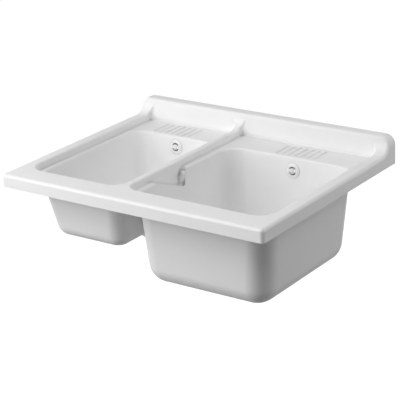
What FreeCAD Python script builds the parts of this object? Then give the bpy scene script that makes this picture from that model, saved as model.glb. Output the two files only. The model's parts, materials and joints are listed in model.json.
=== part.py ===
# Double laundry tub: one moulded tub with a small and a large bowl, and the waste and overflow of each.
# Millimetres. X runs to the right, Y towards the wall and Z up.
# Origin: on the wall face, at mid width, level with the top of the rim.
import FreeCAD
import Part
import math
import os

from FreeCAD import Placement, Rotation, Vector

# Rim and splashback
tub_width = 750.0
tub_depth = 600.0
wall = 4.0
skirt_drop = 33.0
plan_corner_r = 10.0
outer_edge_r = 8.0
inner_edge_r = 5.0
splash_rise = 41.0
splash_thick = 34.0
splash_corner_r = 26.0
splash_rear_r = 5.0
cove_r = 31.0
side_rim = 34.0
front_rim = 67.0
divider_x = -60.0
divider_width = 19.0

# Recess that steps down to the ledges and the soap shelves
recess_drop = 18.0
recess_corner_r = 40.0
recess_rear_r = 14.0
recess_rear_turn = 75.0
recess_rear_bury = 3.0
splash_foot_r = 5.0
shelf_depth = 88.0
mouth_edge_r = 6.0

# Bowls: ledges round the mouth, floor depth below the rim, lean of each wall from mouth to floor, radii
bowls = {
    "left": dict(
        ledge_left=10.0, ledge_right=10.0, ledge_front=9.5, floor_depth=171.5,
        lean_left=40.0, lean_right=10.0, lean_front=16.0, lean_rear=16.0, corner_r=36.0, floor_r=30.0,
        overflow_drop=46.0, groove_shift=-17.0),
    "right": dict(
        ledge_left=16.0, ledge_right=8.0, ledge_front=4.0, floor_depth=238.5,
        lean_left=11.5, lean_right=19.5, lean_front=18.5, lean_rear=18.5, corner_r=51.0, floor_r=46.0,
        overflow_drop=51.6, groove_shift=4.8),
}
fitting_shift = 6.7

# Washboard rest, a sloping notch in the left ledge of the large bowl
rest_from_front = 165.0
rest_length = 116.0
rest_depth = 45.0
rest_start_r = 20.0
rest_floor_r = 6.0
rest_edge_r = 20.0

# Soap grooves
groove_count = 7
groove_pitch = 17.8
groove_r = 5.0
groove_depth = 2.6
groove_length = 69.0
groove_from_mouth = 8.5

# Waste fitting
waste_from_rear = 130.0
waste_hole_r = 27.0
waste_seat_r = 38.0
waste_seat_drop = 2.5
strainer_r = 36.5
strainer_sheet = 1.2
strainer_mouth_r = 25.6
strainer_base_r = 24.6
strainer_dish = 14.0
strainer_hole_r = 3.2
strainer_hole_ring_r = 15.5
strainer_hole_count = 10
seal_thick = 3.0
waste_flange_r = 40.0
waste_flange_thick = 4.0
waste_cup_r = 31.0
waste_cup_depth = 36.0
waste_wall = 3.0
outlet_r = 23.9
outlet_length = 28.0
screw_boss_r = 6.0
screw_boss_length = 20.0
spider_width = 5.0
waste_screw_r = 3.0
waste_screw_length = 20.0
waste_screw_head_r = 6.0
waste_screw_head = 3.2

# Plug
plug_gap = 0.4
plug_lip_r = 29.0
plug_lip = 3.0
plug_bevel = 1.0
plug_taper = 8.0
knob_neck_r = 3.5
knob_neck = 8.0
knob_r = 9.0
knob_rise = 9.0
knob_crown_r = 5.0
knob_crown = 3.0
knob_root = 2.0
knob_peg = 5.0
plug_boss_r = 9.0
plug_boss = 4.0

# Overflow fitting
overflow_hole_r = 15.0
overflow_pad_r = 24.0
overflow_pad = 6.0
rosette_r = 18.8
rosette_thick = 4.0
rosette_edge = 1.4
rosette_slot_r = 11.8
rosette_bar = 8.0
rosette_boss_r = 6.2
rosette_collar_gap = 0.4
rosette_collar_wall = 2.0
rosette_collar = 8.0
overflow_seal_r = 22.0
overflow_seal = 2.5
elbow_flange = 3.0
elbow_r = 17.6
elbow_depth = 22.0
elbow_wall = 2.8
elbow_boss_r = 4.5
overflow_screw_r = 2.2
overflow_screw_length = 21.0
overflow_screw_head_r = 4.0
overflow_screw_head = 1.8
drive_slot = 1.2
drive_slot_depth = 1.0

# Overflow hose and its clips
spigot_r = 9.0
spigot_wall = 2.0
spigot_length = 26.0
hose_gap = 0.25
hose_valley_r = 10.6
hose_rib_r = 12.4
hose_cuff_r = 11.4
hose_cuff = 22.0
hose_grip = 18.0
hose_bend_r = 40.0
hose_rib_pitch = 9.0
hose_foot_share = 0.1
hose_crest_share = 0.35
clip_width = 8.0
clip_thick = 1.4
clip_gap = 0.1
clip_ear = 5.0
clip_ear_width = 4.2

# Clearance of a screw or peg in the hole that it passes, and in the one that it bites into
screw_gap = 0.3
pilot_gap = 0.1

# A cutting form runs this far past the faces that it opens
cut_past = 1.0

# Limits for picking edges: a point counts as on a face within tiny, an edge as sharp above least_turn degrees
tiny = 0.01
least_turn = 10.0

# Places worked out from the sizes above
half_width = tub_width / 2
front_y = -tub_depth
splash_y = -splash_thick
recess_front_y = front_y + front_rim
mouth_rear_y = splash_y - shelf_depth
recess_z = -recess_drop
recess_x = {
    "left": (side_rim - half_width, divider_x - divider_width / 2),
    "right": (divider_x + divider_width / 2, half_width - side_rim),
}


# Shared forms
def box(x0, x1, y0, y1, z0, z1):
    return Part.makeBox(x1 - x0, y1 - y0, z1 - z0, Vector(x0, y0, z0))


def rounded_outline(points):
    # closed wire through (corner, radius) pairs, each corner replaced by a tangent arc
    corners = [corner for corner, radius in points]
    edges, joints = [], []
    for index, (corner, radius) in enumerate(points):
        back = (corners[index - 1] - corner).normalize()
        ahead = (corners[(index + 1) % len(corners)] - corner).normalize()
        half_turn = back.getAngle(ahead) / 2
        reach = radius / math.tan(half_turn)
        first, last = corner + back * reach, corner + ahead * reach
        joints.append((first, last))
        if radius > 0:
            middle = (back + ahead).normalize() * (radius / math.sin(half_turn) - radius)
            edges.append(Part.Arc(first, corner + middle, last).toShape())
        else:
            edges.append(None)
    loop = []
    for index, arc in enumerate(edges):
        if arc:
            loop.append(arc)
        loop.append(Part.makeLine(joints[index][1], joints[(index + 1) % len(joints)][0]))
    return Part.Wire(loop)


def plan_outline(x0, x1, y0, y1, front_r, rear_r, z):
    return rounded_outline([
        (Vector(x0, y0, z), front_r), (Vector(x1, y0, z), front_r),
        (Vector(x1, y1, z), rear_r), (Vector(x0, y1, z), rear_r)])


def plan_prism(x0, x1, y0, y1, front_r, z0, z1):
    return Part.Face(plan_outline(x0, x1, y0, y1, front_r, 0, z0)).extrude(Vector(0, 0, z1 - z0))


def leaning_box(top, base):
    # flat-sided solid between two level rectangles, each (x0, x1, y0, y1, z)
    upper, lower = [[Vector(x, y, z) for x, y in ((x0, y0), (x1, y0), (x1, y1), (x0, y1))]
                    for x0, x1, y0, y1, z in (top, base)]
    loops = [upper, lower]
    for index in range(4):
        after = (index + 1) % 4
        loops.append([upper[index], upper[after], lower[after], lower[index]])
    faces = [Part.Face(Part.makePolygon(loop + loop[:1])) for loop in loops]
    return Part.makeSolid(Part.makeShell(faces))


def front_prism(outline, y0, y1):
    # outline of (x, z, radius) corners, extruded along Y
    wire = rounded_outline([(Vector(x, y0, z), radius) for x, z, radius in outline])
    return Part.Face(wire).extrude(Vector(0, y1 - y0, 0))


def side_prism(outline, x0, x1):
    # outline of (y, z, radius) corners, extruded along X
    wire = rounded_outline([(Vector(x0, y, z), radius) for y, z, radius in outline])
    return Part.Face(wire).extrude(Vector(x1 - x0, 0, 0))


def turned(outline):
    # outline of (radius, z) corners, turned about Z
    wire = Part.makePolygon([Vector(r, 0, z) for r, z in outline + outline[:1]])
    return Part.Face(wire).revolve(Vector(0, 0, 0), Vector(0, 0, 1), 360)


def cylinder(r, z0, z1, x=0.0, y=0.0):
    return Part.makeCylinder(r, z1 - z0, Vector(x, y, z0))


def ring(inner_r, outer_r, z0, z1):
    return cylinder(outer_r, z0, z1).cut(cylinder(inner_r, z0, z1))


def middle_of(edge):
    return edge.valueAt((edge.FirstParameter + edge.LastParameter) / 2)


def on_plane(edge, axis, value):
    points = [vertex.Point for vertex in edge.Vertexes] + [middle_of(edge)]
    return all(abs(getattr(point, axis) - value) < tiny for point in points)


def is_sharp(shape, edge):
    # true where the two faces beside an edge turn by more than a little
    normals = []
    for face in shape.ancestorsOfType(edge, Part.Face):
        normals.append(face.normalAt(*face.Surface.parameter(middle_of(edge))))
    return len(normals) == 2 and math.degrees(normals[0].getAngle(normals[1])) > least_turn


# Tub moulding: rim, skirt and splashback
def splash_outline(inset):
    side, top = half_width - inset, splash_rise - inset
    corner = splash_corner_r - inset
    return [(-side, -skirt_drop, 0), (-side, top, corner), (side, top, corner), (side, -skirt_drop, 0)]


def rim_profile(top):
    # seen from the side, the rim bends up in a cove into the front of the splashback
    return side_prism([
        (front_y, -skirt_drop, 0), (front_y, 0, 0), (splash_y, 0, cove_r), (splash_y, top, 0),
        (0, top, 0), (0, -skirt_drop, 0)], -half_width, half_width)


def recess_prism(x0, x1, top):
    # plan of a recess, whose rear corners flare into the splashback and end inside it
    turn = math.radians(recess_rear_turn)
    turn_y = splash_y - recess_rear_r * math.tan(turn / 2) * math.cos(turn)
    inside_y = splash_y + recess_rear_bury
    inset = (inside_y - turn_y) * math.tan(turn)
    base = -skirt_drop - wall
    corners = [
        (x0, recess_front_y, recess_corner_r), (x1, recess_front_y, recess_corner_r),
        (x1, turn_y, recess_rear_r), (x1 - inset, inside_y, 0), (x1 - inset, wall, 0),
        (x0 + inset, wall, 0), (x0 + inset, inside_y, 0), (x0, turn_y, recess_rear_r)]
    wire = rounded_outline([(Vector(x, y, base), radius) for x, y, radius in corners])
    return Part.Face(wire).extrude(Vector(0, 0, top - base))


def rim_and_splash():
    body = rim_profile(splash_rise).common(front_prism(splash_outline(0), front_y, 0)).removeSplitter()
    upright = [edge for edge in body.Edges if on_plane(edge, "y", front_y) and not on_plane(edge, "z", 0)
               and not on_plane(edge, "z", -skirt_drop)]
    body = body.makeFillet(plan_corner_r, upright)
    outer = [edge for edge in body.Edges if middle_of(edge).z > -tiny and not on_plane(edge, "y", 0)
             and is_sharp(body, edge)]
    body = body.makeFillet(outer_edge_r, outer)
    rear = [edge for edge in body.Edges if on_plane(edge, "y", 0) and not on_plane(edge, "z", -skirt_drop)]
    body = body.makeFillet(splash_rear_r, rear)
    plate = body.common(box(-half_width, half_width, splash_y, 0, -skirt_drop, splash_rise))
    # the rails are made too tall, so that the rounding of their inner edges runs out past the splashback
    tall = splash_rise + cove_r
    recesses = [recess_prism(x0, x1, tall + wall) for x0, x1 in recess_x.values()]
    rails = rim_profile(tall).cut(recesses)
    inner = [edge for edge in rails.Edges if -tiny < middle_of(edge).z < tall - tiny
             and middle_of(edge).y < splash_y + tiny and is_sharp(rails, edge)
             and min(recess.distToShape(Part.Vertex(middle_of(edge)))[0] for recess in recesses) < tiny]
    rails = rails.makeFillet(inner_edge_r, inner)
    return rails.common(body).fuse(plate).removeSplitter()


def underside_hollow():
    hollow = box(wall - half_width, half_width - wall, front_y + wall, -wall, -skirt_drop, -wall)
    hollow = hollow.fuse(front_prism(splash_outline(wall), splash_y + wall, -wall))
    for x0, x1 in recess_x.values():
        hollow = hollow.cut(plan_prism(
            x0 - wall, x1 + wall, recess_front_y - wall, splash_y + wall, recess_corner_r + wall,
            recess_z - wall, 0))
    return hollow


# Tub moulding: bowls
def mouth(side):
    size = bowls[side]
    x0, x1 = recess_x[side]
    return (x0 + size["ledge_left"], x1 - size["ledge_right"],
            recess_front_y + size["ledge_front"], mouth_rear_y)


def bowl_form(side, grow):
    # the inside of a bowl, or with grow its outside: a leaning box with rounded corners and floor edges
    size = bowls[side]
    x0, x1, y0, y1 = mouth(side)
    floor_z = -size["floor_depth"] - grow
    form = leaning_box(
        (x0 - grow, x1 + grow, y0 - grow, y1 + grow, recess_z),
        (x0 + size["lean_left"] - grow, x1 - size["lean_right"] + grow,
         y0 + size["lean_front"] - grow, y1 - size["lean_rear"] + grow, floor_z))
    upright = [edge for edge in form.Edges
               if not on_plane(edge, "z", recess_z) and not on_plane(edge, "z", floor_z)]
    form = form.makeFillet(size["corner_r"] + grow, upright)
    base = [edge for edge in form.Edges if on_plane(edge, "z", floor_z)]
    return form.makeFillet(size["floor_r"] + grow, base)


def rest_forms():
    # outside and inside of the washboard rest
    start = front_y + rest_from_front
    end = start + rest_length
    floor_z = recess_z - rest_depth
    slope = math.atan2(rest_depth, rest_length)
    drop, rise = wall / math.cos(slope), wall * math.tan(slope)
    outside = [
        (start - wall, recess_z - wall / 2, 0), (start - wall, recess_z - drop + rise, 0),
        (end + wall, floor_z - drop - rise, 0), (end + wall, recess_z - wall, rest_edge_r - wall),
        (end + wall + rest_edge_r, recess_z - wall, 0),
        (end + wall + rest_edge_r, recess_z - wall / 2, 0)]
    inside = [
        (start - rest_start_r, recess_z + wall, 0), (start - rest_start_r, recess_z, 0),
        (start, recess_z, rest_start_r), (end, floor_z, rest_floor_r), (end, recess_z, rest_edge_r),
        (end + 2 * rest_edge_r, recess_z, 0), (end + 2 * rest_edge_r, recess_z + wall, 0)]
    x0 = recess_x["right"][0]
    reach = bowls["right"]["ledge_left"] + bowls["right"]["corner_r"] / 2
    return side_prism(outside, x0 - wall, x0 + reach), side_prism(inside, x0, x0 + reach)


def middle_x(side):
    x0, x1, y0, y1 = mouth(side)
    return (x0 + x1) / 2


def fitting_x(side):
    return middle_x(side) + fitting_shift


def waste_place(side):
    return Vector(fitting_x(side), mouth_rear_y - waste_from_rear, -bowls[side]["floor_depth"])


def rear_wall_angle(side):
    size = bowls[side]
    return math.atan2(size["lean_rear"], size["floor_depth"] - recess_drop)


def overflow_placement(side):
    # local Z points out of the leaning rear wall into the bowl, local Y runs up the wall
    angle = rear_wall_angle(side)
    drop = bowls[side]["overflow_drop"]
    place = Vector(fitting_x(side), mouth_rear_y - math.tan(angle) * (drop - recess_drop), -drop)
    return Placement(place, Rotation(Vector(1, 0, 0), 90 - math.degrees(angle)))


def into_wall(shape, side):
    shape.Placement = overflow_placement(side)
    return shape


def on_floor(shape, side):
    shape.Placement = Placement(waste_place(side), Rotation())
    return shape


def groove_places(side):
    first = middle_x(side) + bowls[side]["groove_shift"] - (groove_count - 1) / 2 * groove_pitch
    return [first + index * groove_pitch for index in range(groove_count)]


def groove(x):
    y0 = mouth_rear_y + groove_from_mouth + groove_r
    z = recess_z - groove_depth + groove_r
    run = groove_length - 2 * groove_r
    rod = Part.makeCylinder(groove_r, run, Vector(x, y0, z), Vector(0, 1, 0))
    ends = [Part.makeSphere(groove_r, Vector(x, y, z)) for y in (y0, y0 + run)]
    return rod.fuse(ends)


def groove_bed(side):
    # the shelf is thicker under its grooves, so that they leave a full wall
    places = groove_places(side)
    y0 = mouth_rear_y + groove_from_mouth
    return box(
        places[0] - groove_r, places[-1] + groove_r, y0, y0 + groove_length,
        recess_z - wall - groove_depth, recess_z - wall / 2)


def splash_foot(side):
    # small cove along the foot of the splashback
    x0, x1 = recess_x[side]
    y, z = splash_y - splash_foot_r, recess_z + splash_foot_r
    strip = box(x0 - wall / 2, x1 + wall / 2, y, splash_y + wall / 2, recess_z - wall / 2, z)
    return strip.cut(Part.makeCylinder(splash_foot_r, tub_width, Vector(x0 - wall, y, z), Vector(1, 0, 0)))


def basin(side):
    x0, x1 = recess_x[side]
    shell = plan_prism(
        x0 - wall, x1 + wall, recess_front_y - wall, splash_y + wall, recess_corner_r + wall,
        recess_z - wall, recess_z)
    waste_pad = on_floor(cylinder(waste_seat_r + wall, -waste_seat_drop - wall, -wall / 2), side)
    wall_pad = into_wall(cylinder(overflow_pad_r, -overflow_pad, -wall / 2), side)
    additions = [bowl_form(side, wall), waste_pad, wall_pad, groove_bed(side), splash_foot(side)]
    cuts = [
        on_floor(cylinder(waste_seat_r, -waste_seat_drop, wall), side),
        on_floor(cylinder(waste_hole_r, -waste_seat_drop - wall - cut_past, 0), side),
        into_wall(cylinder(overflow_hole_r, -overflow_pad - cut_past, cut_past), side)]
    if side == "right":
        rest_outside, rest_inside = rest_forms()
        additions.append(rest_outside)
        cuts.append(rest_inside)
    inside = bowl_form(side, 0)
    shell = shell.fuse(additions).cut(inside).removeSplitter()
    lip = [edge for edge in shell.Edges if on_plane(edge, "z", recess_z)
           and inside.distToShape(Part.Vertex(middle_of(edge)))[0] < tiny]
    shell = shell.makeFillet(mouth_edge_r, lip)
    cuts += [groove(x) for x in groove_places(side)]
    return shell.cut(cuts)


def tub_moulding():
    tub = rim_and_splash().cut(underside_hollow())
    return tub.fuse([basin(side) for side in bowls]).removeSplitter()


# Waste fittings: local origin at the middle of the seat's mouth, level with the bowl floor
seat_z = -waste_seat_drop
flange_top_z = seat_z + strainer_sheet
dish_z = flange_top_z - strainer_dish
pad_z = seat_z - wall
body_z = pad_z - seal_thick
boss_z = dish_z - strainer_sheet
cup_z = body_z - waste_cup_depth
inlet_z = cup_z + spigot_r + waste_wall


def waste_strainer():
    dish = turned([
        (0, boss_z), (strainer_base_r + strainer_sheet, boss_z),
        (strainer_mouth_r + strainer_sheet, seat_z), (strainer_r, seat_z), (strainer_r, flange_top_z),
        (strainer_mouth_r, flange_top_z), (strainer_base_r, dish_z), (0, dish_z)])
    holes = [cylinder(waste_screw_r + screw_gap, boss_z - cut_past, dish_z + cut_past)]
    for index in range(strainer_hole_count):
        turn = 2 * math.pi * index / strainer_hole_count
        x, y = strainer_hole_ring_r * math.cos(turn), strainer_hole_ring_r * math.sin(turn)
        holes.append(cylinder(strainer_hole_r, boss_z - cut_past, dish_z + cut_past, x, y))
    return dish.cut(holes)


def slotted_head(r, z0, height):
    top = z0 + height
    slot = box(-r, r, -drive_slot / 2, drive_slot / 2, top - drive_slot_depth, top + cut_past)
    return cylinder(r, z0, top).cut(slot)


def waste_screw():
    return slotted_head(waste_screw_head_r, dish_z, waste_screw_head).fuse(
        cylinder(waste_screw_r, dish_z - waste_screw_length, dish_z)).removeSplitter()


def waste_seal():
    return ring(waste_hole_r, waste_flange_r, body_z, pad_z)


def waste_body():
    inner_r = waste_cup_r - waste_wall
    outlet_inner_r = outlet_r - waste_wall
    cup = turned([
        (inner_r, body_z), (waste_flange_r, body_z), (waste_flange_r, body_z - waste_flange_thick),
        (waste_cup_r, body_z - waste_flange_thick), (waste_cup_r, cup_z), (outlet_r, cup_z),
        (outlet_r, cup_z - outlet_length), (outlet_inner_r, cup_z - outlet_length),
        (outlet_inner_r, cup_z + waste_wall), (inner_r, cup_z + waste_wall)])
    spigot_end = waste_cup_r + spigot_length
    spigot = Part.makeCylinder(spigot_r, spigot_end - inner_r, Vector(0, inner_r, inlet_z), Vector(0, 1, 0))
    bore = Part.makeCylinder(spigot_r - spigot_wall, spigot_end, Vector(0, 0, inlet_z), Vector(0, 1, 0))
    boss_base = boss_z - screw_boss_length
    half = spider_width / 2
    spider = box(-waste_cup_r, waste_cup_r, -half, half, boss_base, boss_base + spider_width)
    spider = spider.common(cylinder(waste_cup_r - waste_wall / 2, boss_base, boss_z))
    boss = cylinder(screw_boss_r, boss_base, boss_z)
    pilot = cylinder(waste_screw_r + pilot_gap, boss_z - waste_screw_length, boss_z)
    middle = spider.fuse(boss).cut(pilot)
    return cup.fuse(spigot).cut(bore).fuse(middle).removeSplitter()


def waste_plug():
    taper_r = strainer_mouth_r - plug_gap
    lean = (strainer_mouth_r - strainer_base_r) / strainer_dish
    base_r = taper_r - lean * plug_taper
    lip_z = flange_top_z + plug_lip
    body = turned([
        (0, flange_top_z - plug_taper), (base_r, flange_top_z - plug_taper), (taper_r, flange_top_z),
        (plug_lip_r, flange_top_z), (plug_lip_r - plug_bevel, lip_z), (plug_boss_r, lip_z),
        (plug_boss_r - plug_bevel, lip_z + plug_boss), (0, lip_z + plug_boss)])
    return body.cut(cylinder(knob_neck_r + pilot_gap, lip_z + plug_boss - knob_peg, lip_z + plug_boss))


def plug_knob():
    base_z = flange_top_z + plug_lip + plug_boss
    top_z = base_z + knob_neck
    return turned([
        (0, base_z - knob_peg), (knob_neck_r, base_z - knob_peg), (knob_neck_r, top_z),
        (knob_r, top_z + knob_root), (knob_r, top_z + knob_rise - knob_crown),
        (knob_crown_r, top_z + knob_rise), (0, top_z + knob_rise)])


# Overflow fittings: local origin at the middle of the wall seat, local Z into the bowl and local Y up
pad_back_z = -overflow_pad
elbow_z = pad_back_z - overflow_seal
elbow_end_z = elbow_z - elbow_depth
spigot_z = elbow_z - elbow_depth / 2
spigot_end_y = -elbow_r - spigot_length


def overflow_rosette():
    # a shallow dome with a bar and a screw boss across its opening
    collar_r = overflow_hole_r - rosette_collar_gap
    collar_inner_r = collar_r - rosette_collar_wall
    crown = rosette_thick - rosette_edge
    dome_r = (rosette_r ** 2 + crown ** 2) / (2 * crown)
    face = cylinder(rosette_r, 0, rosette_thick).common(
        Part.makeSphere(dome_r, Vector(0, 0, rosette_thick - dome_r)))
    collar = ring(collar_inner_r, collar_r, -rosette_collar, 0)
    low, high = -cut_past, rosette_thick + cut_past
    bar = box(-rosette_slot_r, rosette_slot_r, -rosette_bar / 2, rosette_bar / 2, low, high)
    boss = cylinder(rosette_boss_r, low, high)
    slots = cylinder(rosette_slot_r, low, high).cut([bar, boss])
    hole = cylinder(overflow_screw_r + screw_gap, low, high)
    return face.fuse(collar).removeSplitter().cut([slots, hole])


def overflow_screw():
    return slotted_head(overflow_screw_head_r, rosette_thick, overflow_screw_head).fuse(
        cylinder(overflow_screw_r, rosette_thick - overflow_screw_length, rosette_thick)).removeSplitter()


def overflow_seal_ring():
    return ring(overflow_hole_r, overflow_seal_r, elbow_z, pad_back_z)


def overflow_elbow():
    inner_r = elbow_r - elbow_wall
    cup = turned([
        (inner_r, elbow_z), (overflow_seal_r, elbow_z), (overflow_seal_r, elbow_z - elbow_flange),
        (elbow_r, elbow_z - elbow_flange), (elbow_r, elbow_end_z), (0, elbow_end_z),
        (0, elbow_end_z + elbow_wall), (inner_r, elbow_end_z + elbow_wall)])
    down = Vector(0, -1, 0)
    spigot = Part.makeCylinder(spigot_r, -spigot_end_y - inner_r, Vector(0, -inner_r, spigot_z), down)
    bore = Part.makeCylinder(spigot_r - spigot_wall, -spigot_end_y, Vector(0, 0, spigot_z), down)
    # inside, the back of the cup slopes down to the spigot
    back_z = elbow_end_z + elbow_wall / 2
    chute = side_prism([
        (elbow_r, elbow_z - elbow_flange, 0), (elbow_r, back_z, 0), (-inner_r, back_z, 0),
        (-inner_r, elbow_end_z + elbow_wall, 0)], -elbow_r, elbow_r)
    chute = chute.common(cylinder(inner_r + elbow_wall / 2, back_z, elbow_z))
    boss = cylinder(elbow_boss_r, back_z, elbow_z - elbow_flange / 2)
    pilot = cylinder(overflow_screw_r + pilot_gap, rosette_thick - overflow_screw_length, elbow_z)
    return cup.fuse([spigot, chute]).cut(bore).fuse(boss).cut(pilot).removeSplitter()


# Overflow hose, in the upright plane through the fitting: down the rear wall, round a bend and to the waste
def hose_ends(side):
    waste = waste_place(side)
    start = overflow_placement(side).multVec(Vector(0, spigot_end_y + hose_grip, spigot_z))
    end = Vector(waste.x, waste.y + waste_cup_r + spigot_length - hose_grip, waste.z + inlet_z)
    return start, end


def hose_runs(side):
    start, end = hose_ends(side)
    angle = rear_wall_angle(side)
    turn = math.pi / 2 - angle
    reach = hose_bend_r * math.tan(turn / 2)
    slant = (start.z - end.z) / math.cos(angle)
    corner_y = start.y - slant * math.sin(angle)
    return slant - reach, hose_bend_r * turn, corner_y - end.y - reach


def hose_station(side, along):
    # point and direction at a distance along the hose
    start, end = hose_ends(side)
    drop, bend, ahead = hose_runs(side)
    angle = rear_wall_angle(side)
    down = Vector(0, -math.sin(angle), -math.cos(angle))
    inward = Vector(0, -math.cos(angle), math.sin(angle))
    if along <= drop:
        return start + down * along, down
    if along >= drop + bend:
        return end + Vector(0, drop + bend + ahead - along, 0), Vector(0, -1, 0)
    turn = (along - drop) / hose_bend_r
    centre = start + down * drop + inward * hose_bend_r
    offset = (down * math.sin(turn) - inward * math.cos(turn)) * hose_bend_r
    return centre + offset, down * math.cos(turn) + inward * math.sin(turn)


def hose_circle(side, along, r):
    point, direction = hose_station(side, along)
    across = Vector(1, 0, 0)
    circle = Part.makeCircle(r)
    circle.Placement = Placement(point, Rotation(across, direction.cross(across), direction, "ZXY"))
    return Part.Wire([circle])


def overflow_hose(side):
    length = sum(hose_runs(side))
    rib_count = int((length - 2 * hose_cuff) / hose_rib_pitch)
    pitch = (length - 2 * hose_cuff) / rib_count
    rings = [hose_circle(side, 0, hose_cuff_r), hose_circle(side, hose_cuff, hose_cuff_r)]
    for index in range(rib_count):
        start = hose_cuff + index * pitch
        for share, r in (
                (hose_foot_share, hose_valley_r), (hose_crest_share, hose_rib_r),
                (1 - hose_crest_share, hose_rib_r), (1 - hose_foot_share, hose_valley_r)):
            rings.append(hose_circle(side, start + share * pitch, r))
    rings += [hose_circle(side, length - hose_cuff, hose_cuff_r), hose_circle(side, length, hose_cuff_r)]
    outside = Part.makeLoft(rings, True, True)
    return outside.cut(hose_bore(side))


def hose_bore(side):
    drop, bend, ahead = hose_runs(side)
    start, end = hose_ends(side)
    bore_r = spigot_r + hose_gap
    corner, down = hose_station(side, drop)
    inward = Vector(1, 0, 0).cross(down)
    disc = Part.Face(hose_circle(side, drop, bore_r))
    bent = disc.revolve(corner - inward * hose_bend_r, Vector(-1, 0, 0), math.degrees(bend / hose_bend_r))
    return Part.makeCylinder(bore_r, drop, start, down).fuse([
        bent, Part.makeCylinder(bore_r, ahead, end, Vector(0, 1, 0))])


def hose_clip(side, along):
    point, direction = hose_station(side, along)
    inner_r = hose_cuff_r + clip_gap
    outer_r = inner_r + clip_thick
    half = clip_width / 2
    band = ring(inner_r, outer_r, -half, half)
    # the ear points away from the bowl
    ear_half = clip_ear_width / 2
    ear = box(-ear_half, ear_half, -outer_r - clip_ear, -inner_r - clip_thick / 2, -half, half)
    clip = band.fuse(ear).removeSplitter()
    across = Vector(1, 0, 0)
    clip.Placement = Placement(point, Rotation(across, direction.cross(across), direction, "ZXY"))
    return clip


def hose_clips():
    clips = []
    for side in bowls:
        length = sum(hose_runs(side))
        clips += [hose_clip(side, hose_grip / 2), hose_clip(side, length - hose_grip / 2)]
    return Part.makeCompound(clips)


def export(shape, node):
    shape.exportStep("parts/" + node + ".step")


os.makedirs("parts", exist_ok=True)
export(tub_moulding(), "tub_moulding")
export(hose_clips(), "hose_clips")
for side in bowls:
    floor_pieces = dict(
        waste_strainer=waste_strainer, waste_screw=waste_screw, waste_seal=waste_seal,
        waste_body=waste_body, waste_plug=waste_plug, plug_knob=plug_knob)
    for name, make in floor_pieces.items():
        export(on_floor(make(), side), side + "_" + name)
    wall_pieces = dict(
        overflow_rosette=overflow_rosette, overflow_screw=overflow_screw,
        overflow_seal=overflow_seal_ring, overflow_elbow=overflow_elbow)
    for name, make in wall_pieces.items():
        export(into_wall(make(), side), side + "_" + name)
    export(overflow_hose(side), side + "_overflow_hose")
    print(side, "overflow hose", round(sum(hose_runs(side)), 1), "mm long, bend radius", hose_bend_r)
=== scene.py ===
# Double laundry tub: one white moulding with two bowls, and the overflow, waste and plug of each bowl
import bmesh
import bpy
import json
import math
from mathutils import Matrix, Vector

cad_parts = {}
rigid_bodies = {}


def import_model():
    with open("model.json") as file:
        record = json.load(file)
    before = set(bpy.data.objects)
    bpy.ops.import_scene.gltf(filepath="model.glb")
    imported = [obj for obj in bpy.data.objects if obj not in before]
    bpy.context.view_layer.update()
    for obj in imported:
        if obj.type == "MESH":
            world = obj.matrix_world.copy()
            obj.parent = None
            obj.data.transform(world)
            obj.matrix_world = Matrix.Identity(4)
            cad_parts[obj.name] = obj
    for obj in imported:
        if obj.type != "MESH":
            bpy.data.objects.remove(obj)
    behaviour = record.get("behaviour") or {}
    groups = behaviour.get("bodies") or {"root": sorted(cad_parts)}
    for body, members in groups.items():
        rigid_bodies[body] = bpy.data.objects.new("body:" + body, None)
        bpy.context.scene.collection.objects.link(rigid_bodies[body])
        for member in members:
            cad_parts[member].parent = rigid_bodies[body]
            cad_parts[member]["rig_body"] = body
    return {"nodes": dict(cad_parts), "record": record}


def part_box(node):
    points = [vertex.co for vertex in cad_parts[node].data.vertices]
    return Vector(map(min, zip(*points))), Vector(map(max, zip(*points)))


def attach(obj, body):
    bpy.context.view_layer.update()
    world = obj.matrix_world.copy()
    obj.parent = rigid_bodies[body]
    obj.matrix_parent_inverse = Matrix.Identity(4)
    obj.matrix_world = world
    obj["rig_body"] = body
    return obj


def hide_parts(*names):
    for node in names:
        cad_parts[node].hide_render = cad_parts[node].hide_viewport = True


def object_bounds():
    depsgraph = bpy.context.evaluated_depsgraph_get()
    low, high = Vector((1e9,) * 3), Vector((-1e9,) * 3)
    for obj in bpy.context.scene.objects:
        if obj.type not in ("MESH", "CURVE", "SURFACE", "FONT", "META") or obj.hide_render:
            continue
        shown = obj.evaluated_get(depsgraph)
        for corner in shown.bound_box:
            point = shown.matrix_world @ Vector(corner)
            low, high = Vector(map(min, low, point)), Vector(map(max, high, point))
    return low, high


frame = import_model()
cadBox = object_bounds()
mm = 0.001
sides = ("left", "right")
scene = bpy.context.scene
print("frame loaded:", len(frame["nodes"]), "nodes")


def bearing(azimuth, elevation):
    # the way from the tub to a camera or a lamp, in degrees round to the right of the front and above level
    turn, rise = math.radians(azimuth), math.radians(elevation)
    return Vector((math.sin(turn) * math.cos(rise), -math.cos(turn) * math.cos(rise), math.sin(rise)))


# camera, fitted to the rim and the splashback: degrees, a place in metres, a lens and sensor in millimetres
shot = dict(azimuth=35.789, elevation=20.565, roll=-2.492, place=(2.06344, -3.16716, 1.22666),
            lens=138.99, sensor=36.0)


def addCamera():
    back = bearing(shot["azimuth"], shot["elevation"])
    right = bearing(shot["azimuth"] + 90, 0)
    up = back.cross(right)
    roll = math.radians(shot["roll"])
    across = right * math.cos(roll) + up * math.sin(roll)
    upright = up * math.cos(roll) - right * math.sin(roll)
    turned = Matrix((across, upright, back)).transposed().to_4x4()
    camera = bpy.data.objects.new("camera", bpy.data.cameras.new("camera"))
    camera.data.lens = shot["lens"]
    camera.data.sensor_width = shot["sensor"]
    camera.matrix_world = Matrix.Translation(shot["place"]) @ turned
    scene.collection.objects.link(camera)
    scene.camera = camera


addCamera()
print("camera placed")


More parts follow.
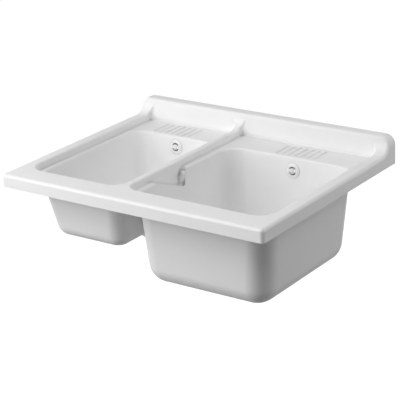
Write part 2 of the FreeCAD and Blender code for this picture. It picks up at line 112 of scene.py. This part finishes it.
# materials
def linear(hexColour):
    # sRGB to linear light, by the standard curve
    channels = [int(hexColour[start:start + 2], 16) / 255 for start in (1, 3, 5)]
    return tuple(c / 12.92 if c <= 0.04045 else ((c + 0.055) / 1.055) ** 2.4 for c in channels) + (1.0,)


def addNode(tree, kind, values=None, links=None, **settings):
    node = tree.nodes.new("ShaderNode" + kind)
    for name, value in settings.items():
        setattr(node, name, value)
    for socket, value in (values or {}).items():
        node.inputs[socket].default_value = value
    for socket, source in (links or {}).items():
        tree.links.new(source, node.inputs[socket])
    return node


def emptyTree(owner):
    # the node tree of a new material or world, with nothing in it yet
    owner.use_nodes = True
    owner.node_tree.nodes.clear()
    return owner.node_tree


# finer layers of each noise, and the rays that feel for a crease to paint shade into it
grain = dict(patchDetail=3.0, reliefDetail=2.0, creaseRays=4)
mixFirst, mixSecond, mixResult = 6, 7, 2  # the colour sockets of a Mix node


def surfaceFinish(name, look):
    # two tones in slow patches, gloss that varies with them, a fine relief and, where the look has one,
    # # shade painted into the creases
    material = bpy.data.materials.new(name)
    tree = emptyTree(material)
    place = addNode(tree, "TexCoord").outputs["Object"]
    if "stretch" in look:
        place = addNode(tree, "Mapping", {"Scale": look["stretch"]}, {"Vector": place}).outputs["Vector"]
    patch = addNode(tree, "TexNoise", {"Scale": 1 / look["patch"], "Detail": grain["patchDetail"]},
                    {"Vector": place})
    relief = addNode(tree, "TexNoise", {"Scale": 1 / look["relief"], "Detail": grain["reliefDetail"]},
                     {"Vector": place})
    tone = addNode(tree, "Mix", {mixFirst: linear(look["pale"]), mixSecond: linear(look["deep"])},
                   {0: patch.outputs["Fac"]}, data_type="RGBA")
    gloss = addNode(tree, "MapRange", {"To Min": look["gloss"][0], "To Max": look["gloss"][1]},
                    {"Value": patch.outputs["Fac"]})
    bump = addNode(tree, "Bump", {"Strength": 1.0, "Distance": look["height"]},
                   {"Height": relief.outputs["Fac"]})
    if "paintedCreaseShade" in look:
        # painted shade: the colour goes toward a grey where ambient occlusion finds a crease or a nearby part
        creaseOcclusion = addNode(tree, "AmbientOcclusion", {"Distance": look["paintedShadeReach"]}, samples=grain["creaseRays"])
        tone = addNode(tree, "Mix", {mixFirst: linear(look["paintedCreaseShade"])},
                       {0: creaseOcclusion.outputs["AO"], mixSecond: tone.outputs[mixResult]}, data_type="RGBA")
    shader = addNode(tree, "BsdfPrincipled", {"Metallic": look.get("metallic", 0.0)},
                     {"Base Color": tone.outputs[mixResult], "Roughness": gloss.outputs["Result"],
                      "Normal": bump.outputs["Normal"]})
    if "ior" in look:
        shader.inputs["IOR"].default_value = look["ior"]
    addNode(tree, "OutputMaterial", links={"Surface": shader.outputs["BSDF"]})
    return material


# filled resin, moulded against a satin tool: a soft bright skin with a slow ripple, a touch duller in
# # patches, and grey shade painted into the creases, darker where they close in
mouldedResin = dict(pale="#F7F7F7", deep="#F4F4F4", gloss=(0.46, 0.52), ior=1.49, patch=70 * mm,
                    relief=11 * mm, height=0.012 * mm, paintedCreaseShade="#969694", paintedShadeReach=8 * mm)
# ABS, moulded and polished: harder and a shade cleaner than the tub, with almost no ripple
mouldedAbs = dict(pale="#F3F3F3", deep="#EFEFEF", gloss=(0.26, 0.34), ior=1.54, patch=20 * mm,
                  relief=4 * mm, height=0.004 * mm)
# polypropylene, moulded on a sparked tool: waxy, satin and slightly warm; the grain is drawn coarser to show
mouldedPolypropylene = dict(pale="#F1F1EE", deep="#EBEBE7", gloss=(0.38, 0.5), ior=1.49, patch=25 * mm,
                            relief=0.9 * mm, height=0.02 * mm)
# flexible PVC, blown into ribs: soft grey with a dull sheen
blownPvc = dict(pale="#B4B7B8", deep="#A6A9AA", gloss=(0.35, 0.5), ior=1.53, patch=18 * mm,
                relief=1.2 * mm, height=0.015 * mm)
# stainless sheet, pressed and brushed: satin, with fine lines one way, drawn coarser to show
brushedStainless = dict(pale="#CFCFCD", deep="#B9B9B7", gloss=(0.22, 0.36), metallic=1.0, patch=6 * mm,
                        relief=0.7 * mm, height=0.006 * mm, stretch=(0.06, 1.0, 1.0))
# brass, turned, polished and chromed: a bright mirror with a faint bloom from wet hands
chromedBrass = dict(pale="#E3E5E6", deep="#DADCDE", gloss=(0.06, 0.16), metallic=1.0, patch=5 * mm,
                    relief=3 * mm, height=0.002 * mm)
# nitrile rubber, pressed in a mould: near black, dull, with a grey bloom
pressedRubber = dict(pale="#2B2B2C", deep="#1D1D1E", gloss=(0.5, 0.68), ior=1.52, patch=9 * mm,
                     relief=0.8 * mm, height=0.02 * mm)
finishes = {
    "white_resin": surfaceFinish("mouldedResin", mouldedResin),
    "white_abs": surfaceFinish("mouldedAbs", mouldedAbs),
    "white_polypropylene": surfaceFinish("mouldedPolypropylene", mouldedPolypropylene),
    "grey_hose": surfaceFinish("blownPvc", blownPvc),
    "stainless_steel": surfaceFinish("brushedStainless", brushedStainless),
    "chromed_brass": surfaceFinish("chromedBrass", chromedBrass),
    "black_rubber": surfaceFinish("pressedRubber", pressedRubber)}
slotOf = {part["node"]: part["material_slot"] for part in frame["record"]["subparts"]}  # of each CAD node
print("materials made:", len(finishes))


# pieces
def addPiece(name, data, node):
    # links a finished mesh, on the body and with the finish of the CAD node that it belongs to
    piece = bpy.data.objects.new(name, data)
    scene.collection.objects.link(piece)
    data.materials.append(finishes[slotOf[node]])
    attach(piece, frame["nodes"][node]["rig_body"])
    return piece


def finishMesh(name, work, crease):
    # a mesh of the worked form, smooth everywhere but over edges that turn by more than the crease angle
    data = bpy.data.meshes.new(name)
    work.to_mesh(data)
    work.free()
    for polygon in data.polygons:
        polygon.use_smooth = True
    data.set_sharp_from_angle(angle=math.radians(crease))
    return data


# flat and crease are angles in degrees, and near is how close a point lies to a wall that it is part of
dressing = dict(weld=0.002 * mm, near=0.05 * mm, flat=0.5, crease=30, edgeSegments=2, faceWeight=90)


def dressNode(node, edge=None, reshape=None):
    # a copy of a CAD node with its seams welded and, given an edge, its flats joined up and its sharp edges
    # broken by a round of that width
    work = bmesh.new()
    work.from_mesh(frame["nodes"][node].data)
    bmesh.ops.remove_doubles(work, verts=work.verts, dist=dressing["weld"])
    if reshape:
        reshape(work)
    if edge:
        bmesh.ops.dissolve_limit(work, angle_limit=math.radians(dressing["flat"]), verts=work.verts,
                                 edges=work.edges)
    piece = addPiece(node + "Form", finishMesh(node + "Form", work, dressing["crease"]), node)
    if edge:
        bevel = piece.modifiers.new("brokenEdge", "BEVEL")
        bevel.width = edge
        bevel.segments = dressing["edgeSegments"]
        bevel.limit_method = "ANGLE"
        bevel.angle_limit = math.radians(dressing["crease"])
    normals = piece.modifiers.new("trueFlats", "WEIGHTED_NORMAL")
    normals.keep_sharp = True
    normals.weight = dressing["faceWeight"]
    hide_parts(node)


def turnAngles(around):
    # one angle for each point round a loop
    return [2 * math.pi * index / around for index in range(around)]


def skinLoops(name, loops, crease, closed=False, capped=False):
    # a skin from loop to loop of points, where a loop of one point is a pole: closed joins the last loop to
    # the first, and capped fills both ends
    work = bmesh.new()
    rows = [[work.verts.new(point) for point in loop] for loop in loops]
    around = max(len(row) for row in rows)
    laterRows = rows[1:] + rows[:1] if closed else rows[1:]
    for row, after in zip(rows, laterRows):
        for corner in range(around):
            following = (corner + 1) % around
            ring = [row[corner], row[following]] if len(row) > 1 else [row[0]]
            ring += [after[following], after[corner]] if len(after) > 1 else [after[0]]
            work.faces.new(ring)
    if capped:
        work.faces.new(rows[0])
        work.faces.new(rows[-1])
    bmesh.ops.recalc_face_normals(work, faces=work.faces)
    return finishMesh(name, work, crease)


dressNode("tub_moulding")  # keeps all its CAD faces, which already have their rounds
print("tub dressed")

# fittings: how far each sharp edge is broken
fittings = dict(
    overflow_screw=0.2 * mm, overflow_seal=0.4 * mm, overflow_elbow=0.5 * mm,
    waste_strainer=0.2 * mm, waste_screw=0.3 * mm, waste_seal=0.4 * mm, waste_plug=0.6 * mm)
clipEdge = 0.25 * mm
for side in sides:
    for name, edge in fittings.items():
        dressNode(side + "_" + name, edge)
dressNode("hose_clips", clipEdge)
print("fittings dressed")

# overflow rosette: two slots between its bar and an outer arc, round the boss of its screw, with thick lips
rearLean = dict(left=5.951, right=4.796)  # degrees that the rear wall of each bowl leans
rosette = dict(slotRadius=11.8 * mm, bossRadius=6.2 * mm, barHalf=4 * mm, lip=1.0 * mm, edge=0.4 * mm)


def addRosette(side):
    low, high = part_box(side + "_overflow_seal")
    middle = (low + high) / 2
    lean = math.radians(rearLean[side])
    up = Vector((0, math.sin(lean), math.cos(lean)))
    bar = rosette["barHalf"] + rosette["lip"]
    # plain and thick radius of the outer arc and of the boss
    walls = ((rosette["slotRadius"], rosette["slotRadius"] - rosette["lip"]),
             (rosette["bossRadius"], rosette["bossRadius"] + rosette["lip"]))

    def thickenLips(work):
        # a point on a round wall of a slot keeps its share of the arc between the bar and the crown
        for vert in work.verts:
            across, rise = vert.co.x - middle.x, (vert.co - middle).dot(up)
            for plain, thick in walls:
                if abs(math.hypot(across, rise) - plain) > dressing["near"]:
                    continue
                first, last = math.asin(rosette["barHalf"] / plain), math.asin(bar / thick)
                share = (math.atan2(abs(rise), abs(across)) - first) / (math.pi / 2 - first)
                turn = last + share * (math.pi / 2 - last)
                vert.co.x = middle.x + math.copysign(thick * math.cos(turn), across)
                vert.co += up * (math.copysign(thick * math.sin(turn), rise) - rise)

    dressNode(side + "_overflow_rosette", rosette["edge"], thickenLips)


for side in sides:
    addRosette(side)
print("rosettes made")

# waste body: its plain outlet is turned down to the root of a pipe thread, 11 turns to the inch
outlet = dict(radius=23.9 * mm, length=28 * mm, edge=0.5 * mm)
# above and below are bare lengths; crest and foot are half widths of the ridge, as shares of the pitch, and
# bury sinks its foot; it rises from firstHeight, a share of the depth, to the whole depth in taper turns
thread = dict(depth=1.4 * mm, pitch=25.4 / 11 * mm, above=3.5 * mm, below=1.2 * mm, bury=0.1 * mm,
              crest=0.1, foot=0.44, taper=0.5, firstHeight=0.05, stepsPerTurn=48, crease=40)


def threadLoops(base):
    # the four corners of the ridge at each step of its climb
    root = outlet["radius"] - thread["depth"]
    turns = (outlet["length"] - thread["above"] - thread["below"]) / thread["pitch"] - 2 * thread["foot"]
    steps = int(turns * thread["stepsPerTurn"])
    loops = []
    for step in range(steps + 1):
        fromEnd = min(step, steps - step) / thread["stepsPerTurn"]
        height = thread["depth"] * min(max(fromEnd / thread["taper"], thread["firstHeight"]), 1)
        climb = thread["below"] + (thread["foot"] + step / thread["stepsPerTurn"]) * thread["pitch"]
        turn = 2 * math.pi * step / thread["stepsPerTurn"]
        ray = Vector((math.cos(turn), math.sin(turn), 0))
        corners = ((root - thread["bury"], -thread["foot"]), (root + height, -thread["crest"]),
                   (root + height, thread["crest"]), (root - thread["bury"], thread["foot"]))
        loops.append([base + ray * radius + Vector((0, 0, climb + share * thread["pitch"]))
                      for radius, share in corners])
    return loops


def addWasteBody(side):
    node = side + "_waste_body"
    low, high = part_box(side + "_waste_seal")
    base = Vector(((low.x + high.x) / 2, (low.y + high.y) / 2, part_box(node)[0].z))

    def turnDown(work):
        for vert in work.verts:
            arm = vert.co - base
            rise = arm.z
            arm.z = 0
            onOutlet = abs(arm.length - outlet["radius"]) < dressing["near"]
            if onOutlet and rise < outlet["length"] + dressing["near"]:
                vert.co -= arm.normalized() * thread["depth"]

    dressNode(node, outlet["edge"], turnDown)
    name = side + "_outletThread"
    addPiece(name, skinLoops(name, threadLoops(base), thread["crease"], capped=True), node)


for side in sides:
    addWasteBody(side)
print("waste bodies made")

# plug's knob, turned: outline from the foot of its peg as radius, height and rounding, in millimetres
knob = dict(outline=((0, 0, 0), (3.5, 0, 0.4), (3.5, 5.5, 1), (2.9, 9, 5), (3.4, 12.4, 2.5), (8.9, 14.2, 1.2),
                     (9, 18.4, 3), (5.6, 21.5, 7), (0, 22, 0)), arcSteps=8, around=72, crease=40)


def roundedOutline(corners, steps):
    # replaces each corner by an arc of its rounding
    points = []
    for index, (radius, height, rounding) in enumerate(corners):
        corner = Vector((radius, height))
        if not rounding:
            points.append(corner)
            continue
        back = (Vector(corners[index - 1][:2]) - corner).normalized()
        ahead = (Vector(corners[index + 1][:2]) - corner).normalized()
        half = back.angle(ahead) / 2
        centre = corner + (back + ahead).normalized() * (rounding / math.sin(half))
        first = corner + back * (rounding / math.tan(half)) - centre
        last = corner + ahead * (rounding / math.tan(half)) - centre
        for step in range(steps + 1):
            points.append(centre + first.slerp(last, step / steps).normalized() * rounding)
    return points


def addKnob(side):
    node = side + "_plug_knob"
    name = side + "_plugKnob"
    low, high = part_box(node)
    foot = Vector(((low.x + high.x) / 2, (low.y + high.y) / 2, low.z))
    loops = []
    for radius, height in roundedOutline(knob["outline"], knob["arcSteps"]):
        turns = turnAngles(knob["around"]) if radius > 0 else [0]
        loops.append([foot + Vector((radius * math.cos(a), radius * math.sin(a), height)) * mm
                      for a in turns])
    piece = addPiece(name, skinLoops(name, loops, knob["crease"]), node)
    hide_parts(node)


for side in sides:
    addKnob(side)
print("knobs made")

# ribbed hose: straight down along the rear wall of the bowl, round one bend and straight into the waste;
# the foot and crest of a rib are shares of the pitch
hose = dict(bendRadius=40 * mm, boreRadius=9.25 * mm, cuff=22 * mm, cuffRadius=11.4 * mm, lipRound=0.6 * mm,
            ribRadius=12.4 * mm, valleyRadius=10.6 * mm, pitch=9 * mm, foot=0.1, crest=0.35,
            lipSteps=3, ringsPerRib=12, boreSteps=24, around=40, crease=50)


def hoseRoute(side):
    # from the CAD hose's box: its start, its lean, and the lengths of the drop, the bend and the run ahead
    low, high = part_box(side + "_overflow_hose")
    lean = math.radians(rearLean[side])
    start = Vector(((low.x + high.x) / 2, high.y - hose["cuffRadius"] * math.cos(lean),
                    high.z - hose["cuffRadius"] * math.sin(lean)))
    end = Vector((start.x, low.y, low.z + hose["ribRadius"]))
    turn = math.pi / 2 - lean
    reach = hose["bendRadius"] * math.tan(turn / 2)  # from the corner to either end of the bend
    slant = (start.z - end.z) / math.cos(lean)  # from the start to the corner
    ahead = start.y - slant * math.sin(lean) - end.y - reach
    return start, lean, slant - reach, hose["bendRadius"] * turn, ahead


def hoseStation(route, along):
    # point and direction at a distance along the hose
    start, lean, drop, bend = route[:4]
    down = Vector((0, -math.sin(lean), -math.cos(lean)))
    inward = Vector((0, -math.cos(lean), math.sin(lean)))
    if along <= drop:
        return start + down * along, down
    turn = min(along - drop, bend) / hose["bendRadius"]
    direction = down * math.cos(turn) + inward * math.sin(turn)
    centre = start + down * drop + inward * hose["bendRadius"]
    point = centre + (down * math.sin(turn) - inward * math.cos(turn)) * hose["bendRadius"]
    return point + direction * max(along - drop - bend, 0), direction


def ribRadius(phase):
    # rounded rib: foot, flank, crest and flank again over one pitch
    flank = min(phase, 1 - phase)
    rise = min(max((flank - hose["foot"]) / (hose["crest"] - hose["foot"]), 0), 1)
    rise = rise * rise * (3 - 2 * rise)
    return hose["valleyRadius"] + (hose["ribRadius"] - hose["valleyRadius"]) * rise


def hoseRings(length):
    # distance and radius of every ring of the skin: outside from start to end, then back along the bore
    cuff, lip, perRib = hose["cuff"], hose["lipRound"], hose["ringsPerRib"]
    ribs = int((length - 2 * cuff) / hose["pitch"])
    pitch = (length - 2 * cuff) / ribs  # stretched a little, so that whole ribs fill the hose
    head = []
    for step in range(hose["lipSteps"], -1, -1):
        turn = math.pi / 2 * step / hose["lipSteps"]
        head.append((lip * (1 - math.sin(turn)), hose["cuffRadius"] - lip * (1 - math.cos(turn))))
    head.append((cuff - lip, hose["cuffRadius"]))
    rings = list(head)
    for step in range(1, ribs * perRib):
        rings.append((cuff + step * pitch / perRib, ribRadius(step / perRib % 1)))
    rings += [(length - along, radius) for along, radius in reversed(head)]
    for step in range(hose["boreSteps"] + 1):
        rings.append((length * (1 - step / hose["boreSteps"]), hose["boreRadius"]))
    return rings


def addHose(side):
    node = side + "_overflow_hose"
    name = side + "_overflowHose"
    route = hoseRoute(side)
    length = sum(route[2:])
    across = Vector((1, 0, 0))
    loops = []
    for along, radius in hoseRings(length):
        point, direction = hoseStation(route, along)
        other = direction.cross(across)
        loops.append([point + (across * math.cos(a) + other * math.sin(a)) * radius
                      for a in turnAngles(hose["around"])])
    piece = addPiece(name, skinLoops(name, loops, hose["crease"], closed=True), node)
    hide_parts(node)
    print(side, "hose", round(length / mm, 1), "mm")


for side in sides:
    addHose(side)
print("hoses made")

# floor and surround: white to the eye, with the tub hung at its fitted height, in metres; mirrored is how
# bright the floor is in reflections
room = dict(floorDrop=0.85, floorSize=40.0, floorColour="#959595", wallColour="#FFFFFF", mirrored=0.4)


def addFloor():
    half = room["floorSize"] / 2
    corners = [(-half, -half, 0), (half, -half, 0), (half, half, 0), (-half, half, 0)]
    data = bpy.data.meshes.new("floor")
    data.from_pydata(corners, [], [(0, 1, 2, 3)])
    floor = bpy.data.objects.new("floor", data)
    floor.location.z = -room["floorDrop"]
    scene.collection.objects.link(floor)
    material = bpy.data.materials.new("paleFloor")
    data.materials.append(material)
    tree = emptyTree(material)
    path = addNode(tree, "LightPath").outputs
    seen = addNode(tree, "Math", links={0: path["Is Camera Ray"], 1: path["Is Transmission Ray"]},
                   operation="MAXIMUM")
    power = addNode(tree, "Math", {1: room["mirrored"]}, {0: path["Is Glossy Ray"], 2: seen.outputs[0]},
                    operation="MULTIPLY_ADD")
    glow = addNode(tree, "Emission", links={"Strength": power.outputs[0]})
    matt = addNode(tree, "BsdfDiffuse", {"Color": linear(room["floorColour"])})
    both = addNode(tree, "AddShader", links={0: glow.outputs[0], 1: matt.outputs[0]})
    below = addNode(tree, "NewGeometry").outputs["Backfacing"]  # open from below, so that the underside shows
    clear = addNode(tree, "BsdfTransparent")
    oneWay = addNode(tree, "MixShader", links={0: below, 1: both.outputs[0], 2: clear.outputs[0]})
    addNode(tree, "OutputMaterial", links={"Surface": oneWay.outputs[0]})


def addSurround():
    # white to the eye and in reflections, with no light of its own on the tub
    world = bpy.data.worlds.new("whiteRoom")
    tree = emptyTree(world)
    path = addNode(tree, "LightPath").outputs
    seen = addNode(tree, "Math", links={0: path["Is Camera Ray"], 1: path["Is Glossy Ray"]},
                   operation="MAXIMUM")
    seen = addNode(tree, "Math", links={0: seen.outputs[0], 1: path["Is Transmission Ray"]},
                   operation="MAXIMUM")
    shade = addNode(tree, "Background", {"Color": linear(room["wallColour"])}, {"Strength": seen.outputs[0]})
    addNode(tree, "OutputWorld", links={"Surface": shade.outputs[0]})
    scene.world = world


addFloor()
addSurround()

# soft boxes round the tub: bearing in degrees as the camera's, size in metres and power in watts
lampDistance = 3.0
lamps = {
    "leftBox": dict(azimuth=-110, elevation=12, size=1.6, power=20.5),
    "frontLeftBox": dict(azimuth=-40, elevation=12, size=1.6, power=37.0),
    "raisedFrontBox": dict(azimuth=-25, elevation=35, size=1.6, power=25.5),
    "highFrontBox": dict(azimuth=-20, elevation=55, size=1.6, power=13.2),
    "highRightBox": dict(azimuth=30, elevation=55, size=1.6, power=17.6),
    "raisedRearBox": dict(azimuth=115, elevation=35, size=1.6, power=20.0),
    "lowRearBox": dict(azimuth=120, elevation=0, size=1.2, power=11.0),
    "highRearBox": dict(azimuth=180, elevation=60, size=1.6, power=4.0),
    "rearBox": dict(azimuth=180, elevation=0, size=1.6, power=14.0),
}


def addLamp(name, lamp):
    back = bearing(lamp["azimuth"], lamp["elevation"])
    data = bpy.data.lights.new(name, "AREA")
    data.size = lamp["size"]
    data.energy = lamp["power"]
    box = bpy.data.objects.new(name, data)
    box.location = (cadBox[0] + cadBox[1]) / 2 + back * lampDistance
    box.rotation_mode = "QUATERNION"
    box.rotation_quaternion = (-back).to_track_quat("-Z", "Y")
    scene.collection.objects.link(box)


for name, lamp in lamps.items():
    addLamp(name, lamp)
scene.view_settings.view_transform = "Standard"
print("room and lamps set")
